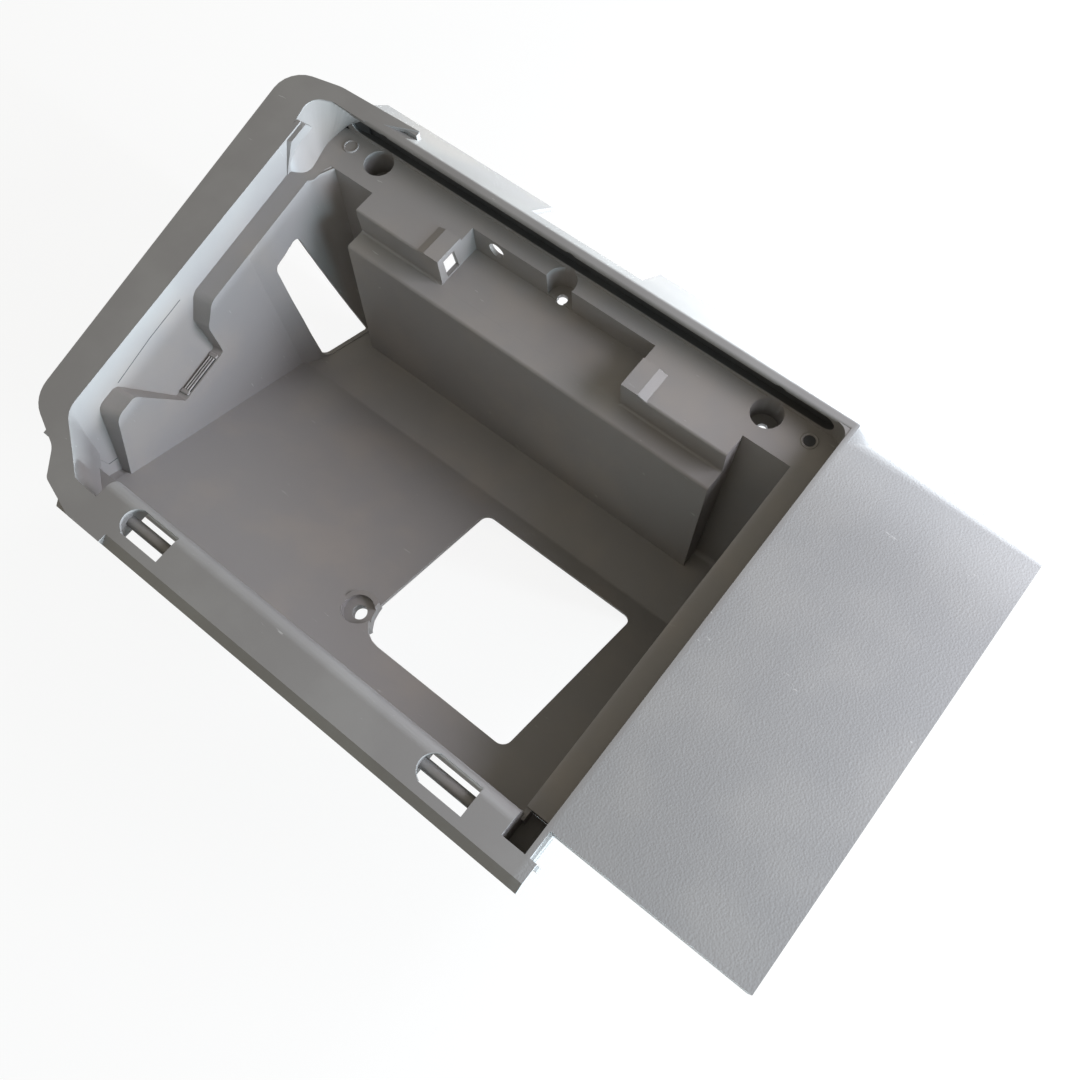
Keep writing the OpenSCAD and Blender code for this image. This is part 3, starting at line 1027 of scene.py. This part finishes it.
@dataclass
class SideDetails:
    """Snap slot shown by painted shade, with its ribbed catch on the wavy ledge, and the thin lines on the
    flank.

    Attributes:
        finisher: Finisher with the plastic.
        shadow: Finisher with the painted shade of gaps, also used for the thin dark lines.
        ledge: Height of the low part of the ledge.
        slot: Left, near, right and far edge of the slot, in the frame of the left wall.
        bars: Middles of the catch's bars across the slot.
        lines: Points on the flank that the lines run through, from the hinge corner.
    """

    finisher: Finisher
    shadow: Finisher
    ledge: float = -52.0
    slot: tuple[float, float, float, float] = (-6.2, 75.5, -0.9, 104.0)
    bars: tuple[float, ...] = (-5.0, -3.5, -2.0)
    lines: tuple[tuple[tuple[float, float, float], ...], ...] = (
        ((-319.4, 105.7, -12.0), (-315.7, 80.0, -12.2), (-311.3, 51.8, -14.2)),
        ((-301.2, 12.0, -36.7), (-304.2, 14.8, -24.9), (-301.8, 19.0, -43.7), (-302.3, 25.2, -46.2)),
    )

    def build(self) -> list[bpy.types.Object]:
        """Makes the slot's painted shade, its catch and the lines.

        Returns:
            The pieces.
        """
        left, near, right, far = self.slot
        # Painted shade: a dark sheet stands in for the shade in the slot.
        made = [self.shadow.piece("snap_slot_shade", self._block(left, near, right, far, 0.06))]
        blocks = [(x - 0.4, near + 2.5, x + 0.4, far - 2.5, 0.9) for x in self.bars]
        blocks += [(left, near, right, near + 2.6, 1.1), (left, far - 2.6, right, far, 1.1)]
        for number, block in enumerate(blocks):
            made.append(self.finisher.piece(f"snap_catch_{number + 1}", self._block(*block)))
        for number, line in enumerate(self.lines):
            made.append(self.shadow.piece(f"flank_line_{number + 1}", self._line(line)))
        return made

    def _block(self, left: float, near: float, right: float, far: float, height: float) -> bmesh.types.BMesh:
        """Raises a low block from the ledge.

        Args:
            left: Its left side, in the frame of the left wall.
            near: Its side nearest to the hinge.
            right: Its right side.
            far: Its far side.
            height: How far it stands above the ledge.

        Returns:
            The block.
        """
        turn = Matrix.Rotation(math.atan(SIDE_SLANT), 2)
        plan = ((left, near), (right, near), (right, far), (left, far))
        corners = [turn @ Vector(corner) for corner in plan]
        sunk = 0.4
        outline = [spot(c.x - BOX_WIDTH, c.y, self.ledge - sunk) for c in corners]
        return prism(outline, Vector((0.0, 0.0, (height + sunk) * MM)))

    def _line(self, points: Sequence[tuple[float, float, float]], radius: float = 0.22) -> bmesh.types.BMesh:
        """Draws a thin line as a fine strip that lies half sunk in the flank.

        Args:
            points: Places that the line runs through.
            radius: Half of the line's width.

        Returns:
            The strip.
        """
        rows = []
        around = ((radius, 0), (0, radius), (-radius, 0), (0, -radius))
        for x, y, z in points:
            rows.append([spot(x + a, y, z + b) for a, b in around])
        return skin(rows)


@dataclass
class Housing:
    """The moulding, taken over from the CAD solid and opened where scene pieces take over.

    Attributes:
        finisher: Finisher with the plastic.
        node: Name of the CAD node.
        seam: Distance under which the CAD mesh's loose corners are one, in metres.
        shortest: Length under which an edge goes after the cuts, in metres.
        flat: Angle under which two faces are joined, in radians.
        left_wall: Faces left of this are not joined, since their windows need them apart.
        parts: Pieces that complete the moulding.
    """

    finisher: Finisher
    node: str = "housing"
    seam: float = 0.005 * MM
    shortest: float = 0.06 * MM
    flat: float = math.radians(0.05)
    left_wall: float = -306.0
    parts: list[bpy.types.Object] = field(default_factory=list)

    def build(self) -> bpy.types.Object:
        """Makes the shown housing with the pieces that complete it.

        Returns:
            The main piece.
        """
        # Painted shade: the dark finish of sheets in gaps and sunk marks; the flank lines use it too.
        shadow = Finisher(GapShade().material(), edge_radius=0.02 * MM)
        corner, brow = Corner(self.finisher), BrowEnd(self.finisher)
        ledge = LedgeDetails(self.finisher, shadow)
        piece = self._merged_copy()
        for detail in (corner, brow, ledge):
            detail.clear(piece)
        self._tidy(piece)
        self.finisher.dress(piece)
        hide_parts(self.node)
        self.parts = [*corner.build(), brow.build(), *ledge.build()]
        self.parts += RightEnd(self.finisher).build() + SideDetails(self.finisher, shadow).build()
        return piece

    def _merged_copy(self) -> bpy.types.Object:
        """Copies the CAD mesh and joins its loose triangles.

        Returns:
            The copy, as an object of its own.
        """
        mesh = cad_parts[self.node].data.copy()
        shape = bmesh.new()
        shape.from_mesh(mesh)
        bmesh.ops.remove_doubles(shape, verts=shape.verts, dist=self.seam)
        shape.to_mesh(mesh)
        shape.free()
        piece = bpy.data.objects.new("bracket_moulding", mesh)
        bpy.context.scene.collection.objects.link(piece)
        return piece

    def _tidy(self, piece: bpy.types.Object) -> None:
        """Clears the lines between flat faces and the smallest edges.

        Args:
            piece: The cut housing.
        """
        shape = bmesh.new()
        shape.from_mesh(piece.data)
        bmesh.ops.remove_doubles(shape, verts=shape.verts, dist=self.shortest)
        bmesh.ops.dissolve_degenerate(shape, dist=self.shortest, edges=shape.edges)
        right = {vert for vert in shape.verts if vert.co.x > spot(self.left_wall, 0, 0).x}
        inner = [edge for edge in shape.edges if right.issuperset(edge.verts)]
        bmesh.ops.dissolve_limit(shape, angle_limit=self.flat, verts=list(right), edges=inner)
        shape.to_mesh(piece.data)
        shape.free()


@dataclass
class PhotoCamera:
    """Camera that stands where the photograph was taken from.

    Attributes:
        place: Place from the hinge corner, in millimetres.
        right: The picture's right, in the part's frame.
        up: The picture's up, in the part's frame.
        lens: Focal length, in millimetres.
        film: Width of the picture behind the lens, in millimetres.
        nearest: Distance from which things show, in metres.
    """

    place: tuple[float, float, float] = (41.24, -6.53, 450.0)
    right: tuple[float, float, float] = (0.7811, 0.6224, -0.0507)
    up: tuple[float, float, float] = (-0.5690, 0.7428, 0.3527)
    lens: float = 35.17
    film: float = 36.0
    nearest: float = 0.01

    def build(self) -> bpy.types.Object:
        """Adds the camera and makes it the scene's own.

        Returns:
            The camera object.
        """
        data = bpy.data.cameras.new("photo_camera")
        data.lens = self.lens
        data.sensor_width = self.film
        data.clip_start = self.nearest
        camera = bpy.data.objects.new("photo_camera", data)
        bpy.context.scene.collection.objects.link(camera)
        right = Vector(self.right).normalized()
        back = right.cross(Vector(self.up)).normalized()
        turn = Matrix((right, back.cross(right), back)).transposed().to_4x4()
        camera.matrix_world = Matrix.Translation(spot(*self.place)) @ turn
        bpy.context.scene.camera = camera
        return camera


@dataclass(frozen=True)
class Lamp:
    """One soft lamp.

    Attributes:
        name: Name of the lamp.
        place: Place from the hinge corner, in millimetres.
        width: Width of its square face, in metres.
        power: Power in watts.
        colour: Linear colour of its light.
    """

    name: str
    place: tuple[float, float, float]
    width: float
    power: float
    colour: tuple[float, float, float]


@dataclass
class Studio:
    """Pale floor, even surroundings and soft lamps.

    Attributes:
        lamps: The lamps.
        aim: Point that all lamps face, from the hinge corner in millimetres.
        floor_width: Width of the floor, in metres.
        floor_gap: How far below the bracket the floor lies, in metres.
        floor_colour: Linear colour of the floor.
        floor_white: Share of plain white that the camera sees on the floor.
        surroundings: Strength of the light from all sides.
        room_colour: Linear colour of that light.
    """

    lamps: tuple[Lamp, ...] = (
        Lamp("side_window_light", (1200, 100, 220), 0.50, 14.0, (0.65, 0.88, 1.0)),
        Lamp("near_panel_light", (450, 450, 300), 0.40, 7.2, (0.90, 0.90, 1.0)),
        Lamp("brow_light", (50, 1250, -55), 0.14, 32.0, (0.86, 0.95, 1.0)),
        Lamp("flank_light", (1200, 250, 50), 0.08, 34.0, (0.80, 0.92, 1.0)),
    )
    aim: tuple[float, float, float] = (-120, 120, 0)
    floor_width: float = 6.0
    floor_gap: float = 0.3 * MM
    floor_colour: tuple[float, float, float] = (0.80, 0.80, 0.79)
    floor_white: float = 0.88
    surroundings: float = 0.39
    room_colour: tuple[float, float, float] = (1.0, 0.94, 0.80)

    def build(self) -> None:
        """Adds the floor, the world and the lamps."""
        self._floor()
        self._world()
        for lamp in self.lamps:
            self._lamp(lamp)

    def _floor(self) -> None:
        """Lays the pale floor that the bracket stands on."""
        shape = bmesh.new()
        bmesh.ops.create_grid(shape, x_segments=1, y_segments=1, size=self.floor_width / 2)
        height = cad_bounds[0][2] - self.floor_gap
        bmesh.ops.translate(shape, verts=shape.verts, vec=(0.0, 0.0, height))
        mesh = bpy.data.meshes.new("pale_floor")
        shape.to_mesh(mesh)
        shape.free()
        floor = bpy.data.objects.new("pale_floor", mesh)
        bpy.context.scene.collection.objects.link(floor)
        chain = NodeChain("pale_floor")
        paint = chain.add("ShaderNodeBsdfDiffuse", Color=(*self.floor_colour, 1.0))
        glow = chain.add("ShaderNodeEmission", Color=(1.0, 1.0, 1.0, 1.0), Strength=1.0)
        rays = chain.add("ShaderNodeLightPath")
        share = chain.product(rays.outputs["Is Camera Ray"], self.floor_white)
        blend = chain.add("ShaderNodeMixShader")
        chain.link(share, blend.inputs[0])
        chain.link(paint.outputs[0], blend.inputs[1])
        chain.link(glow.outputs[0], blend.inputs[2])
        chain.link(blend.outputs[0], chain.output.inputs["Surface"])
        mesh.materials.append(chain.material)

    def _world(self) -> None:
        """Lights the bracket evenly and shows the camera a white surrounding."""
        world = bpy.data.worlds.new("pale_room")
        bpy.context.scene.world = world
        world.use_nodes = True
        tree = world.node_tree
        tree.nodes.clear()
        output = tree.nodes.new("ShaderNodeOutputWorld")
        room = tree.nodes.new("ShaderNodeBackground")
        room.inputs["Color"].default_value = (*self.room_colour, 1.0)
        room.inputs["Strength"].default_value = self.surroundings
        white = tree.nodes.new("ShaderNodeBackground")
        white.inputs["Color"].default_value = (1.0, 1.0, 1.0, 1.0)
        rays = tree.nodes.new("ShaderNodeLightPath")
        blend = tree.nodes.new("ShaderNodeMixShader")
        tree.links.new(rays.outputs["Is Camera Ray"], blend.inputs[0])
        tree.links.new(room.outputs[0], blend.inputs[1])
        tree.links.new(white.outputs[0], blend.inputs[2])
        tree.links.new(blend.outputs[0], output.inputs["Surface"])

    def _lamp(self, lamp: Lamp) -> None:
        """Adds one lamp.

        Args:
            lamp: The lamp's values.
        """
        data = bpy.data.lights.new(lamp.name, "AREA")
        data.shape = "SQUARE"
        data.size = lamp.width
        data.energy = lamp.power
        data.color = lamp.colour
        light = bpy.data.objects.new(lamp.name, data)
        bpy.context.scene.collection.objects.link(light)
        light.location = spot(*lamp.place)
        light.rotation_euler = (spot(*self.aim) - spot(*lamp.place)).to_track_quat("-Z", "Y").to_euler()


def main() -> None:
    """Builds the bracket, the studio and the camera, in that order."""
    logging.basicConfig(level=logging.INFO, format="%(name)s: %(message)s")
    housing = Housing(Finisher(MouldedPlastic().material()))
    for piece in (housing.build(), *housing.parts):
        LOG.info("%s: %d faces", piece.name, len(piece.data.polygons))
    Studio().build()
    PhotoCamera().build()
    bpy.context.scene.view_settings.view_transform = "Standard"


if __name__ == "__main__":
    main()
